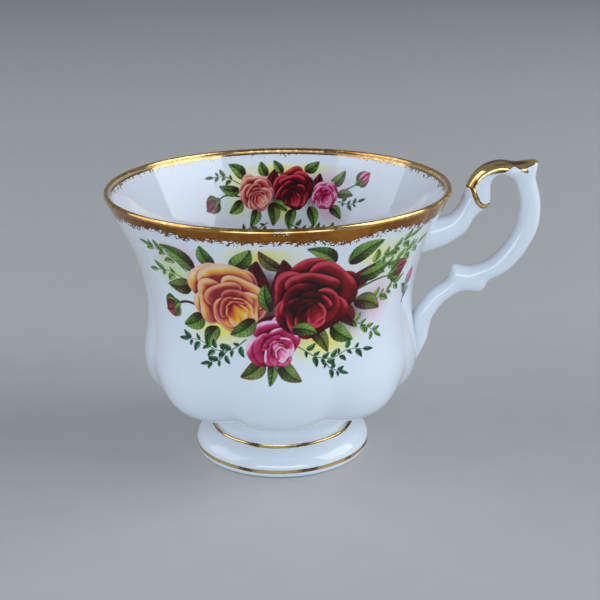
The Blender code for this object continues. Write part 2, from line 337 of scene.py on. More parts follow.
def noise(x, y, seed, period=NOISE_CELLS):
    """Smooth noise from 0 to 1. Along x it repeats after so many cells."""
    table = np.random.default_rng(seed).random((NOISE_CELLS, NOISE_CELLS))
    x0, y0 = np.floor(x).astype(int), np.floor(y).astype(int)
    fx, fy = x - x0, y - y0
    fx, fy = fx * fx * (3 - 2 * fx), fy * fy * (3 - 2 * fy)
    xa, xb = x0 % period % NOISE_CELLS, (x0 + 1) % period % NOISE_CELLS
    ya, yb = y0 % NOISE_CELLS, (y0 + 1) % NOISE_CELLS
    low = table[xa, ya] * (1 - fx) + table[xb, ya] * fx
    high = table[xa, yb] * (1 - fx) + table[xb, yb] * fx
    return low * (1 - fy) + high * fy


def ramp(low, high, value):
    """A smooth step from 0 at low to 1 at high."""
    share = np.clip((value - low) / (high - low), 0, 1)
    return share * share * (3 - 2 * share)


def mix(a, b, share):
    """Colour a turning into b as the share goes from 0 to 1."""
    share = np.asarray(share, float)[..., None]
    return np.asarray(a, float) * (1 - share) + np.asarray(b, float) * share


def shades(tones, value):
    """The colour at a value from 0 to 1 along evenly spaced tones."""
    return interpolated(tones, np.linspace(0, 1, len(tones)), value)


def softened(picture, reach):
    """A picture blurred by a bell curve of this many cells."""
    span = np.arange(-int(3 * reach) - 1, int(3 * reach) + 2)
    bell = np.exp(-0.5 * (span / reach) ** 2)
    bell /= bell.sum()
    for axis in (0, 1):
        picture = np.apply_along_axis(lambda row: np.convolve(row, bell, "same"), axis, picture)
    return picture


class Canvas:
    """Paint over a wall: u runs along it and z up it, and each point has a colour and a coverage."""

    def __init__(self, left, right, low, high, step):
        self.step = step
        self.across = np.arange(left, right, step)
        self.up = np.arange(low, high, step)
        self.u, self.z = np.meshgrid(self.across, self.up)
        self.colour = np.ones(self.u.shape + (3,))
        self.cover = np.zeros(self.u.shape)

    def window(self, low, high):
        """The rows and columns between two corners."""
        cols = slice(*np.searchsorted(self.across, (low[0], high[0])))
        rows = slice(*np.searchsorted(self.up, (low[1], high[1])))
        return rows, cols

    def lay(self, where, colour, cover):
        """Lay a coat over what is there."""
        new = cover + self.cover[where] * (1 - cover)
        share = np.where(new > 1e-6, cover / np.maximum(new, 1e-6), 0)
        self.colour[where] = mix(self.colour[where], colour, share)
        self.cover[where] = new


def wash(canvas, centre, radii, colour, strength):
    """A soft, grainy cloud of colour that fades out below the canvas's top."""
    centre, reach = np.array(centre, float), 2.6 * max(radii)
    where = canvas.window(centre - reach, centre + reach)
    u, z = canvas.u[where], canvas.z[where]
    slant, rise = u + 0.5 * z, z - 0.5 * u
    grain = 0.80 + 0.25 * noise(slant * 1.3 + 80, rise * 1.3 + 80, 5)
    grain += 0.15 * noise(slant * 3.4 + 80, rise * 3.4 + 80, 6)
    out = ((u - centre[0]) / radii[0]) ** 2 + ((z - centre[1]) / radii[1]) ** 2
    cover = strength * grain * np.exp(-out) * ramp(0.0, 1.8, canvas.z.max() - z)
    canvas.lay(where, np.asarray(colour, float), np.clip(cover, 0, 1))


# Colours from the darkest tone to the brightest.
LEAF = ((0.08, 0.13, 0.06), (0.19, 0.29, 0.10), (0.38, 0.51, 0.18), (0.60, 0.70, 0.36))
LEAF_WARM = ((0.15, 0.06, 0.06), (0.25, 0.19, 0.10), (0.40, 0.46, 0.19), (0.60, 0.65, 0.34))
SPRIG = ((0.05, 0.15, 0.10), (0.10, 0.28, 0.16), (0.25, 0.47, 0.27), (0.50, 0.68, 0.44))
SPRIG_STALK = (0.16, 0.33, 0.20)
LEAF_SHADOW = (0.20, 0.05, 0.07)
LEAF_BLUSH = (0.45, 0.12, 0.12)
PLAIN_VEIN = 30.0  # veins this far apart don't show on a bud or a petal
CURVE_STEPS = 8


def leaf(canvas, base, tip, width, bend=0.0, teeth=8, lit=1.0, tones=LEAF, blush=0.0, vein=1.25):
    """A leaf with a rib, veins and a saw-toothed edge.

    bend bows it sideways, lit above zero brightens its left half and below zero its right one, blush reddens
    its tip, and vein is the distance between veins.
    """
    base, tip = np.array(base, float), np.array(tip, float)
    run = tip - base
    length = float(np.hypot(*run))
    reach = length * 0.35 + width
    where = canvas.window(np.minimum(base, tip) - reach, np.maximum(base, tip) + reach)
    du, dz = canvas.u[where] - base[0], canvas.z[where] - base[1]
    t = (du * run[0] + dz * run[1]) / length**2
    side = (dz * run[0] - du * run[1]) / length - bend * length * 4 * t * (1 - t)
    inside = np.clip(t, 0, 1)
    half = width / 2 * np.sin(math.pi * inside**0.8) ** 0.72 * (1 - 0.22 * inside)
    saw = (inside * teeth) % 1
    half = half * (1 - 0.06 * saw * (teeth > 0))
    edge = half - np.abs(side)
    cover = ramp(-0.09, 0.09, edge) * ramp(-0.01, 0.02, t) * ramp(1.01, 0.98, t)
    v = np.clip(np.abs(side) / np.maximum(half, 1e-3), 0, 1)
    upper = ramp(-0.2, 0.2, side)
    slant = (t * length - np.abs(side) * 0.9) / vein + noise(du, dz, 3) * 0.3
    veins = np.exp(-(((slant % 1) - 0.5) / 0.14) ** 2) * ramp(0.05, 0.35, v) * ramp(1.0, 0.85, v)
    rib = np.exp(-(side / 0.13) ** 2)
    grain = noise(canvas.u[where] * 3, canvas.z[where] * 3, 11)
    value = 0.46 + 0.34 * lit * (upper - 0.35) + 0.20 * np.sin(math.pi * v) + 0.22 * (grain - 0.5)
    value -= 0.22 * veins + 0.42 * rib + 0.40 * ramp(0.3, 0.0, edge)
    value += 0.10 * np.exp(-(((slant % 1) - 0.78) / 0.12) ** 2)
    shadow = ramp(0.62, 0.05, inside) * (0.35 + 0.65 * (1 - upper if lit > 0 else upper)) * (teeth > 0)
    value += 0.16 * ramp(0.45, 0.9, v) * ramp(0.2, 0.6, inside) - 0.30 * shadow
    colour = shades(tones, np.clip(value, 0, 1))
    colour = mix(colour, LEAF_SHADOW, 0.62 * shadow)
    reddened = blush * (0.25 + 0.75 * ramp(0.5, 1.0, inside)) * v
    colour = mix(colour, LEAF_BLUSH, np.clip(reddened, 0, 0.8))
    canvas.lay(where, colour, cover)


def stem(canvas, points, width, colour, taper=0.5):
    """A stalk along a smooth line through points, thinner towards its end."""
    line = curve(points)
    where = canvas.window(line.min(0) - width - 0.5, line.max(0) + width + 0.5)
    p = np.stack([canvas.u[where], canvas.z[where]], axis=-1)
    gap, place = nearest_on_line(p, line)
    cover = ramp(0.08, -0.08, gap - width / 2 * (1 - taper * place))
    tone = 0.75 + 0.5 * noise(p[..., 0] * 2, p[..., 1] * 2, 9)
    canvas.lay(where, np.clip(np.asarray(colour) * tone[..., None], 0, 1), cover)


def curve(points):
    """A smooth line through given points."""
    p = np.array(points, float)
    p = np.vstack([2 * p[0] - p[1], p, 2 * p[-1] - p[-2]])
    steps = np.arange(CURVE_STEPS) / CURVE_STEPS
    out = []
    for a, b, c, d in zip(p, p[1:], p[2:], p[3:]):
        square, cube = 2 * a - 5 * b + 4 * c - d, 3 * b - a - 3 * c + d
        out += [0.5 * (2 * b + (c - a) * s + square * s**2 + cube * s**3) for s in steps]
    out.append(p[-2])
    return np.array(out)


def sprig(canvas, points, size, spacing, spread=55, tones=SPRIG, start=0.15):
    """A stalk with pairs of small leaves and one at its tip."""
    line = curve(points)
    stem(canvas, points, 0.28, SPRIG_STALK)
    along = lengths_along(line)
    places = np.arange(start * along[-1], along[-1] - 0.2 * spacing, spacing)
    plain = dict(teeth=0, tones=tones, vein=9)
    for k, place in enumerate(places):
        here, ahead = interpolated(line, along, (place, place + 0.3))
        heading = math.atan2(ahead[1] - here[1], ahead[0] - here[0])
        for side in (-1, 1):
            turn = heading + side * math.radians(spread + 14 * math.sin(5.1 * k + side))
            reach = size * (0.85 + 0.25 * math.sin(3.7 * k + 2 * side))
            end = here + reach * np.array([math.cos(turn), math.sin(turn)])
            leaf(canvas, here + 0.15 * (end - here), end, reach * 0.48, -0.10 * side, lit=0.9 * side, **plain)
    ahead = line[-1] - line[-4]
    ahead /= np.linalg.norm(ahead)
    leaf(canvas, line[-1] - 0.2 * ahead, line[-1] + size * ahead, size * 0.4, **plain)


FINE = 2  # a flower is worked out on cells this many times finer than its canvas
# A petal's curl from its root to its lip, a polynomial that touches zero at the root and near the lip.
CURL_HEIGHT = 1.95653
CURL_LENGTH = 1.27689
PETAL_LIFT = 0.010
PETAL_LIGHT = (-0.45, 0.6, 0.65)


def bloom_picture(
    cells, seed, tilt, roll, outer, closing,
    inner=6, petals=2.62, cup=1.0, openness=1.571, ripple=0.06, scale=0.9,
):
    """Maps of a rose seen tilt degrees off its axis: a spiral of petals that close towards the middle.

    petals is how many there are to a turn, and the spiral runs from outer to inner turns.
    """
    size = cells * FINE
    first = round(petals * outer) / petals + 1e-5
    theta = np.linspace(first * math.tau, inner * math.tau, int(size * 3.6 * (inner - outer)))[:, None]
    x = np.linspace(0, 1, int(size * 0.9))[None, :]
    phi = openness * np.exp(-closing * theta / (8 * math.pi))
    # each petal: how far across it, from -1 to 1
    across = (petals * theta) % math.tau / math.pi - 1
    number = np.floor((petals * theta) / math.tau)
    shape = 1 - 0.5 * (1.25 * across**2 - 0.25) ** 2
    waver = np.sin(number * 2.4 + seed)
    wave = 1 + ripple * np.sin(across * 5 + number * 1.7 + seed) * x**3 + 0.05 * waver * x
    reach = shape * wave
    y = CURL_HEIGHT * x**2 * (CURL_LENGTH * x - 1) ** 2 * np.sin(phi) * cup
    r = reach * (x * np.sin(phi) + y * np.cos(phi))
    rise = reach * (x * np.cos(phi) - y * np.sin(phi)) + PETAL_LIFT * theta
    solid = scale * np.stack(np.broadcast_arrays(r * np.sin(theta), r * np.cos(theta), rise), axis=-1)
    normal = np.cross(np.gradient(solid, axis=0), np.gradient(solid, axis=1))
    normal /= np.maximum(np.linalg.norm(normal, axis=-1, keepdims=True), 1e-9)
    t, a = math.radians(tilt), math.radians(roll)
    lean = np.array([[1, 0, 0], [0, math.cos(t), math.sin(t)], [0, -math.sin(t), math.cos(t)]])
    turn = np.array([[math.cos(a), -math.sin(a), 0], [math.sin(a), math.cos(a), 0], [0, 0, 1]])
    seen = solid @ (turn @ lean).T
    normal = normal @ (turn @ lean).T
    normal *= np.sign(normal[..., 2:3] + 1e-9)
    col, row = np.round((np.moveaxis(seen, -1, 0)[:2] + 1) / 2 * (size - 1)).astype(int)
    inside = (np.minimum(col, row) >= 0) & (np.maximum(col, row) < size)
    # the points nearest the eye are written last, so they cover the others
    order = np.argsort(seen[..., 2][inside], kind="stable")
    cell = (row * size + col)[inside][order]

    def seen_map(values, empty):
        out = np.full(size * size, float(empty))
        out[cell] = np.broadcast_to(values, inside.shape)[inside][order]
        return out.reshape(size, size)

    nowhere = -2.0
    depth = seen_map(seen[..., 2], nowhere)
    return {
        "depth": depth,
        "hit": (depth > nowhere + 0.1).astype(float),
        "along": seen_map(x, 0),
        "across": seen_map(across, 0),
        "number": seen_map(number, -1),
        "turn": seen_map((theta / math.tau - outer) / (inner - outer), 0),
        "normal": np.stack([seen_map(normal[..., k], k == 2) for k in range(3)]),
    }


def bloom_colours(maps, tones, seed, base, contrast, edge_tone, heart):
    """Petals lit from the upper left, dark in the creases between them and bright on their lips."""
    depth, hit, along = maps["depth"], maps["hit"], maps["along"]
    filled = np.where(hit > 0, depth, depth[hit > 0].min())
    wide = softened(filled, 0.035 * len(depth))
    near = softened(filled, 0.01 * len(depth))
    crease = np.clip((wide - filled) * 3.0, 0, 1) * 0.7 + np.clip((near - filled) * 6.0, 0, 1) * 0.45
    raised = np.clip((filled - wide) * 2.2, 0, 1)
    light = np.array(PETAL_LIGHT) / np.linalg.norm(PETAL_LIGHT)
    lit = np.clip(np.tensordot(light, maps["normal"], 1), 0, 1)
    streaks = noise(maps["across"] * 7 + maps["number"] * 3.1, along * 2.2 + maps["number"], seed + 20)
    value = base + 0.62 * lit + 0.22 * (along - 0.6) + 0.16 * raised - 0.75 * crease + 0.20 * (streaks - 0.5)
    lip = ramp(0.90, 0.985, along)
    value = np.clip(0.5 + contrast * (value + 0.3 * lip * ramp(0.15, 0.6, lit) - 0.5), 0, 1)
    colour = shades(tones, value)
    if heart is not None:
        colour = mix(colour, shades(heart, value), ramp(0.35, 0.85, maps["turn"]))
    if edge_tone is not None:
        colour = mix(colour, edge_tone, 0.6 * lip)
    return colour


def gathered(picture):
    """A picture brought down from fine cells to the canvas's own."""
    cells = len(picture) // FINE
    return picture.reshape(cells, FINE, cells, FINE, *picture.shape[2:]).mean((1, 3))


def bloom(canvas, centre, size, seed, tones, base=0.1, contrast=1.0, edge_tone=None, heart=None, **form):
    """A rose of this radius, laid on the canvas and cut off at its edges."""
    maps = bloom_picture(round(2 * size / canvas.step), seed, **form)
    colour = bloom_colours(maps, tones, seed, base, contrast, edge_tone, heart)
    cover = gathered(maps["hit"])
    colour = gathered(colour * maps["hit"][..., None]) / np.maximum(cover, 1e-6)[..., None]
    col = round((centre[0] - size - canvas.across[0]) / canvas.step)
    row = round((centre[1] - size - canvas.up[0]) / canvas.step)
    tall, broad = canvas.cover.shape
    part = slice(max(0, -row), tall - row), slice(max(0, -col), broad - col)
    where = slice(max(0, row), row + len(cover)), slice(max(0, col), col + len(cover))
    canvas.lay(where, colour[part], cover[part])


# More colours, again from dark to bright, and the single colours of the washes.
RED = ((0.08, 0.0, 0.01), (0.21, 0.0, 0.02), (0.39, 0.0, 0.05), (0.57, 0.03, 0.10), (0.82, 0.26, 0.32))
PEACH = ((0.56, 0.14, 0.18), (0.83, 0.38, 0.28), (0.95, 0.66, 0.24), (1.0, 0.85, 0.44), (1.0, 0.96, 0.82))
HEART = ((0.50, 0.05, 0.12), (0.78, 0.24, 0.18), (0.94, 0.52, 0.12), (0.99, 0.74, 0.22), (1.0, 0.90, 0.55))
PINK = ((0.42, 0.01, 0.12), (0.66, 0.07, 0.26), (0.83, 0.22, 0.44), (0.92, 0.45, 0.63), (0.99, 0.80, 0.88))
DARK_BUD = ((0.12, 0.0, 0.03), (0.26, 0.01, 0.06), (0.44, 0.03, 0.11), (0.60, 0.12, 0.19), (0.80, 0.40, 0.42))
CORAL = ((0.42, 0.06, 0.08), (0.68, 0.20, 0.18), (0.84, 0.40, 0.30), (0.93, 0.60, 0.46), (0.99, 0.84, 0.74))
YELLOW = (0.98, 0.93, 0.40)
ROSY = (0.93, 0.66, 0.74)
GRASS = (0.80, 0.88, 0.50)
FERN = ((0.14, 0.26, 0.10), (0.32, 0.48, 0.17), (0.54, 0.67, 0.28), (0.76, 0.84, 0.50))
SHADE = (0.20, 0.02, 0.05)
DUSK = ((0.10, 0.0, 0.02), (0.20, 0.01, 0.04), (0.34, 0.03, 0.07), (0.50, 0.12, 0.15))


# The kinds of rose, for bloom().
FULL_ROSE = dict(contrast=1.15, tilt=22, roll=-150, outer=-0.8, closing=1.2, cup=1.2, scale=0.85)
PEACH_ROSE = dict(tones=PEACH, edge_tone=(0.95, 0.66, 0.58), heart=HEART, **FULL_ROSE)
CORAL_ROSE = dict(tones=CORAL, edge_tone=(0.93, 0.60, 0.60), **FULL_ROSE)
SMALL_ROSE = dict(tones=PINK, tilt=10, roll=200, outer=-0.6, closing=1.0)
RED_ROSE = dict(
    tones=RED, base=0.19, contrast=1.08, tilt=24, roll=170,
    outer=-0.8, inner=5.5, petals=2.38, closing=1.3, cup=1.4, scale=0.85,
)
PINK_ROSE = dict(
    tones=PINK, base=0.26, contrast=1.2, tilt=34, roll=218,
    outer=-0.4, closing=1.4, cup=1.4, openness=1.28, ripple=0.04,
)


def fern(canvas, points, size, spacing, spread, start):
    """A pale sprig."""
    sprig(canvas, points, size, spacing, spread, FERN, start)


def petal(canvas, base, tip, width, bend, lit=0.6):
    """A dark petal in the shade behind the flowers."""
    leaf(canvas, base, tip, width, bend=bend, tones=DUSK, teeth=0, vein=PLAIN_VEIN, lit=lit)


def bud(canvas, base, tip, width, tones):
    """A closed bud in its sepals."""
    base, tip = np.array(base, float), np.array(tip, float)
    run = tip - base
    plain = dict(teeth=0, vein=PLAIN_VEIN)
    leaf(canvas, base + 0.15 * run, tip, width, bend=0.12, tones=tones, lit=0.9, **plain)
    leaf(canvas, base + 0.10 * run, tip - 0.06 * run, width * 0.8, bend=-0.22, tones=tones, lit=0.6, **plain)
    for turn, reach in ((-24, 0.80), (22, 0.86), (4, 0.55)):
        cosine, sine = math.cos(math.radians(turn)), math.sin(math.radians(turn))
        way = np.array([run[0] * cosine - run[1] * sine, run[0] * sine + run[1] * cosine])
        leaf(canvas, base, base + way * reach, width * 0.36, bend=0.012 * turn, lit=0.8, **plain)
    leaf(canvas, base - 0.14 * run, base + 0.26 * run, width * 0.5, **plain)


def front():
    """The builder's own design: a peach rose beside a red one, over a small pink one."""
    c = Canvas(-37, 49, 27, 68.4, CANVAS_STEP)
    wash(c, (-15, 44.5), (6, 3.5), YELLOW, 0.95)
    wash(c, (11, 41.0), (7, 3.2), YELLOW, 0.95)
    wash(c, (-3, 64.8), (6, 2.6), YELLOW, 0.75)
    wash(c, (-25, 57.5), (4.5, 4.5), GRASS, 0.70)
    wash(c, (-22, 63.5), (5, 2.6), ROSY, 0.65)
    wash(c, (22.5, 63), (5, 3), YELLOW, 0.60)
    wash(c, (25.5, 50), (4, 5), ROSY, 0.70)
    wash(c, (31, 60), (5, 5), GRASS, 0.50)
    wash(c, (-2.5, 54.5), (5, 6), SHADE, 1.0)
    wash(c, (0, 47.0), (6, 4), SHADE, 0.90)
    wash(c, (18, 47.5), (4, 4), SHADE, 0.60)
    # dark petals in the shade between the flowers
    petal(c, (-3.0, 52.0), (-4.0, 64.0), 6.5, 0.10)
    petal(c, (0.0, 53.0), (1.5, 64.4), 6.0, -0.10)
    petal(c, (3.0, 48.0), (-8.0, 46.6), 5.5, 0.10, lit=0.3)
    petal(c, (13.0, 50.0), (20.0, 43.8), 5.5, 0.12, lit=0.9)
    petal(c, (16.0, 55.0), (23.0, 60.6), 5.5, -0.10)
    # sprigs above and to the sides
    fern(c, [(-21.0, 59.0), (-24.4, 62.8), (-29.4, 64.4)], 3.6, 3.1, spread=46, start=0.30)
    fern(c, [(-22.0, 56.6), (-26.6, 58.2), (-31.0, 57.6)], 3.6, 3.0, spread=46, start=0.30)
    fern(c, [(20.0, 58.6), (25.6, 62.4), (31.6, 65.6)], 4.0, 2.7, spread=44, start=0.20)
    fern(c, [(21.0, 56.0), (28.0, 59.2), (36.4, 62.4)], 4.2, 2.8, spread=44, start=0.20)
    fern(c, [(21.0, 50.4), (26.6, 50.2), (32.4, 52.8)], 3.6, 2.6, spread=46, start=0.25)
    stem(c, [(-19, 49.6), (-23.2, 50.4), (-27.2, 49.2)], 0.8, (0.24, 0.16, 0.12), taper=0.3)
    bud(c, (-26.8, 49.4), (-32.0, 46.4), 5.0, DARK_BUD)
    stem(c, [(19, 54), (25, 55.6), (29.4, 55.6)], 0.7, (0.34, 0.38, 0.18))
    bud(c, (29.0, 55.6), (35.0, 57.6), 5.0, DARK_BUD)
    # leaves behind the flowers
    leaf(c, (-18.6, 59.6), (-26.0, 65.6), 5.4, -0.10)
    leaf(c, (-20.6, 56.0), (-28.6, 54.2), 4.8, 0.10, lit=-0.8, tones=LEAF_WARM)
    leaf(c, (-14.0, 61.4), (-15.4, 67.2), 4.2, 0.08, 7, lit=0.6)
    leaf(c, (-9.6, 61.6), (-5.0, 67.0), 4.6, -0.08)
    leaf(c, (1.0, 61.4), (-3.4, 66.8), 3.4, 0.12, 7, lit=0.5, tones=LEAF_WARM, blush=1.2)
    leaf(c, (12.6, 62.6), (6.0, 67.0), 4.0, -0.10)
    leaf(c, (15.6, 61.8), (23.0, 66.8), 5.6, 0.08, 9, lit=0.8)
    leaf(c, (19.4, 57.6), (27.2, 59.8), 4.6, -0.10, 9)
    leaf(c, (19.0, 51.0), (27.4, 47.4), 5.2, 0.08, 9, lit=0.7, tones=LEAF_WARM)
    leaf(c, (-19.0, 47.6), (-25.6, 44.0), 4.8, 0.10, lit=0.7)
    leaf(c, (-15.4, 45.0), (-18.8, 38.8), 4.4, -0.10)
    leaf(c, (13.4, 45.4), (19.6, 40.6), 4.8, -0.08)
    leaf(c, (8.0, 45.0), (12.6, 38.4), 4.2, 0.10, lit=0.4, tones=LEAF_WARM)
    leaf(c, (-3.4, 37.6), (-9.6, 32.8), 4.8, 0.10, 9, blush=0.9)
    leaf(c, (0.4, 37.2), (5.6, 32.0), 4.6, -0.10, blush=0.7)
    leaf(c, (-1.6, 37.6), (-2.2, 31.0), 3.0, 0.06, 7, lit=0.7)
    # sprigs below
    sprig(c, [(-8, 42.4), (-12.0, 39.4), (-16.4, 38.8), (-20.8, 40.6), (-24.6, 40.4)], 3.2, 2.4, start=0.12)
    sprig(c, [(-13.4, 38.8), (-15.4, 36.4), (-18.2, 35.4)], 2.7, 2.1)
    sprig(c, [(5, 40.6), (9.6, 37.6), (14.0, 36.8), (18.2, 38.2), (22.8, 37.6)], 3.0, 2.4, start=0.10)
    sprig(c, [(11.4, 36.8), (13.0, 34.4), (15.6, 33.2)], 2.6, 2.0)
    fern(c, [(16.0, 45.6), (22.0, 44.2), (26.4, 41.2)], 3.0, 2.2, spread=50, start=0.30)
    # flowers
    bloom(c, (-2.2, 43.4), 8.1, seed=8, **PINK_ROSE)
    bloom(c, (-11.8, 53.4), 11.2, seed=6, **PEACH_ROSE)
    bloom(c, (8.8, 54.0), 12.2, seed=4, **RED_ROSE)
    # leaves over them
    leaf(c, (-5.4, 47.8), (-12.2, 43.2), 4.6, 0.08)
    leaf(c, (3.4, 45.4), (9.8, 43.6), 4.0, 0.08)
    leaf(c, (-1.8, 50.0), (-2.6, 57.6), 3.8, 0.08, lit=0.7)
    # a pink bud by the handle
    stem(c, [(38.8, 45.4), (39.4, 48.2), (40.2, 50.4)], 0.5, (0.20, 0.30, 0.15))
    leaf(c, (39.3, 47.8), (36.2, 51.2), 2.4, -0.1, 6)
    leaf(c, (39.1, 46.8), (42.8, 48.6), 2.2, 0.1, 6, lit=0.7, tones=LEAF_WARM)
    bud(c, (40.0, 50.0), (41.2, 54.6), 2.8, PINK)
    return c


def inner():
    """A smaller garland: a coral rose, a red one and a pink one in a row."""
    c = Canvas(-25, 29, 46.5, 69.3, CANVAS_STEP)
    wash(c, (-11, 64.5), (4, 2.6), YELLOW, 0.50)
    wash(c, (-1.0, 66.6), (5.0, 1.6), YELLOW, 0.90)
    wash(c, (8, 67.0), (5, 1.5), YELLOW, 0.60)
    wash(c, (1.0, 56), (3.0, 2.4), YELLOW, 0.85)
    wash(c, (-12, 57.5), (4, 3), GRASS, 0.50)
    wash(c, (15, 56.0), (3.5, 2.2), ROSY, 0.60)
    wash(c, (15, 64.4), (4, 2.6), ROSY, 0.50)
    wash(c, (-0.4, 60.5), (4.5, 3.2), SHADE, 0.95)
    wash(c, (9.5, 60.4), (3, 3.4), SHADE, 0.75)
    petal(c, (-1.6, 60.0), (-1.0, 67.2), 4.2, 0.10)
    petal(c, (8.6, 60.0), (10.6, 66.0), 4.0, -0.10, lit=0.9)
    stem(c, [(-11, 60), (-15.4, 60.8), (-18.4, 59.6)], 0.5, (0.18, 0.26, 0.13))
    bud(c, (-18.0, 59.8), (-22.4, 57.4), 3.4, DARK_BUD)
    stem(c, [(16, 61), (19.6, 62.8), (22.0, 64.4)], 0.45, (0.20, 0.30, 0.15))
    bud(c, (21.6, 64.2), (24.6, 67.4), 3.0, PINK)
    sprig(c, [(-11, 63.4), (-14.6, 65.6), (-18.2, 65.8)], 2.3, 1.8, tones=LEAF, start=0.3)
    sprig(c, [(17.0, 59.0), (20.4, 58.6), (23.4, 59.8)], 2.2, 1.8)
    leaf(c, (-9.6, 64.6), (-13.2, 68.8), 3.6, -0.12, 7)
    leaf(c, (-11.2, 61.6), (-17.0, 63.4), 3.4, 0.10, 7, lit=0.6)
    leaf(c, (-11.0, 59.0), (-15.4, 56.0), 3.6, 0.10, 7)
    leaf(c, (-3.6, 65.0), (-4.8, 69.0), 3.0, 0.08, 7, lit=0.7)
    leaf(c, (0.6, 65.6), (-1.6, 69.2), 2.6, teeth=6)
    leaf(c, (6.4, 66.4), (10.0, 69.0), 3.2, -0.1, 6, lit=0.7)
    leaf(c, (14.0, 62.8), (17.4, 67.2), 3.4, -0.10, 7)
    leaf(c, (16.2, 60.6), (21.2, 61.0), 2.8, 0.08, 7, blush=0.7)
    leaf(c, (14.6, 57.4), (18.6, 54.4), 3.2, 0.10, 7, lit=0.8)
    leaf(c, (-6.8, 57.0), (-9.4, 51.8), 3.6, 0.10, 7)
    leaf(c, (-2.6, 58.0), (-2.4, 51.6), 4.2, 0.10, blush=0.3)
    leaf(c, (4.0, 56.4), (2.6, 50.4), 3.6, -0.10)
    leaf(c, (8.6, 57.2), (10.2, 51.6), 3.8, 0.08, 7)
    bloom(c, (-6.9, 61.2), 5.8, seed=9, **CORAL_ROSE)
    bloom(c, (12.7, 60.4), 4.2, seed=11, **SMALL_ROSE)
    bloom(c, (4.0, 61.8), 6.5, seed=14, **RED_ROSE)
    leaf(c, (-2.4, 58.0), (2.0, 55.6), 2.8, 0.10, 6, lit=1.0)
    sprig(c, [(3.0, 52.0), (7.6, 50.6), (12.6, 51.2), (16.4, 50.8)], 2.6, 2.2, start=0.10, tones=LEAF)
    sprig(c, [(-4.0, 52.6), (-8.6, 50.4), (-13.0, 50.8)], 2.6, 2.2, start=0.10, tones=LEAF)
    return c


def back():
    """A small bunch on the side that faces away."""
    c = Canvas(-24, 24, 31, 63, BACK_STEP)
    wash(c, (6, 40), (6, 3), YELLOW, 0.6)
    wash(c, (-8, 56), (5, 3), YELLOW, 0.5)
    wash(c, (12, 53), (4, 3.5), GRASS, 0.5)
    wash(c, (-13, 44), (4.5, 4), ROSY, 0.6)
    wash(c, (0, 44), (4.5, 3), SHADE, 0.9)
    wash(c, (2, 53), (4, 4), SHADE, 0.7)
    stem(c, [(8, 51), (13, 53.2), (17, 52.8)], 0.6, (0.24, 0.18, 0.12))
    bud(c, (16.4, 53.0), (21.4, 50.6), 4.0, DARK_BUD)
    leaf(c, (7.6, 53.4), (12.4, 60.0), 4.2, 0.10)
    leaf(c, (-1.0, 55.0), (1.6, 62.4), 3.8, 0.10)
    leaf(c, (-8.6, 54.4), (-14.8, 60.4), 4.4, -0.08)
    leaf(c, (-11.6, 50.8), (-19.0, 52.6), 4.0, 0.08, lit=0.7, blush=0.5)
    sprig(c, [(-12, 52), (-16.6, 56.4), (-21.0, 57.6)], 2.3, 1.6)
    leaf(c, (-9.6, 44.2), (-16.0, 40.4), 4.4, 0.10, blush=0.7)
    leaf(c, (-0.6, 39.4), (-3.0, 32.6), 3.6, 0.10)
    leaf(c, (9.4, 45.2), (16.2, 42.6), 3.8, -0.10, 7)
    sprig(c, [(8.6, 42.8), (13.0, 39.4), (18.2, 39.8)], 2.3, 1.7)
    sprig(c, [(-5.0, 41.0), (-10.0, 37.4), (-15.4, 36.6)], 2.5, 2.0, start=0.25)
    bloom(c, (1.6, 42.6), 6.6, seed=3, **PINK_ROSE)
    bloom(c, (-6.6, 49.8), 8.4, seed=5, **RED_ROSE)
    bloom(c, (5.8, 51.2), 7.2, seed=16, **PEACH_ROSE)
    leaf(c, (-2.4, 43.6), (-7.4, 40.2), 3.2, 0.10, 7)
    return c


def linear(colour):
    """A display colour as a shader takes it."""
    colour = np.clip(np.asarray(colour, float), 0, 1)
    return np.where(colour <= 0.04045, colour / 12.92, ((colour + 0.055) / 1.055) ** 2.4)


# ---------------------------------------------------------------- materials

CHINA_WHITE = (0.935, 0.95, 0.975)
GLAZE_ROUGHNESS = (0.045, 0.10)
GOLD_ROUGHNESS = (0.08, 0.20)
GOLD_BRIGHT = (1.0, 0.85, 0.57)
# The two below are browner than solid gold, partly from thinner gold and partly as a painted dark reflection.
GOLD_BRUSHED = (0.80, 0.53, 0.24)
# The darker one is also the dark end of the painted reflections along the foot lines and the scroll.
GOLD_THIN_AND_DARK_REFLECTION = (0.42, 0.25, 0.11)


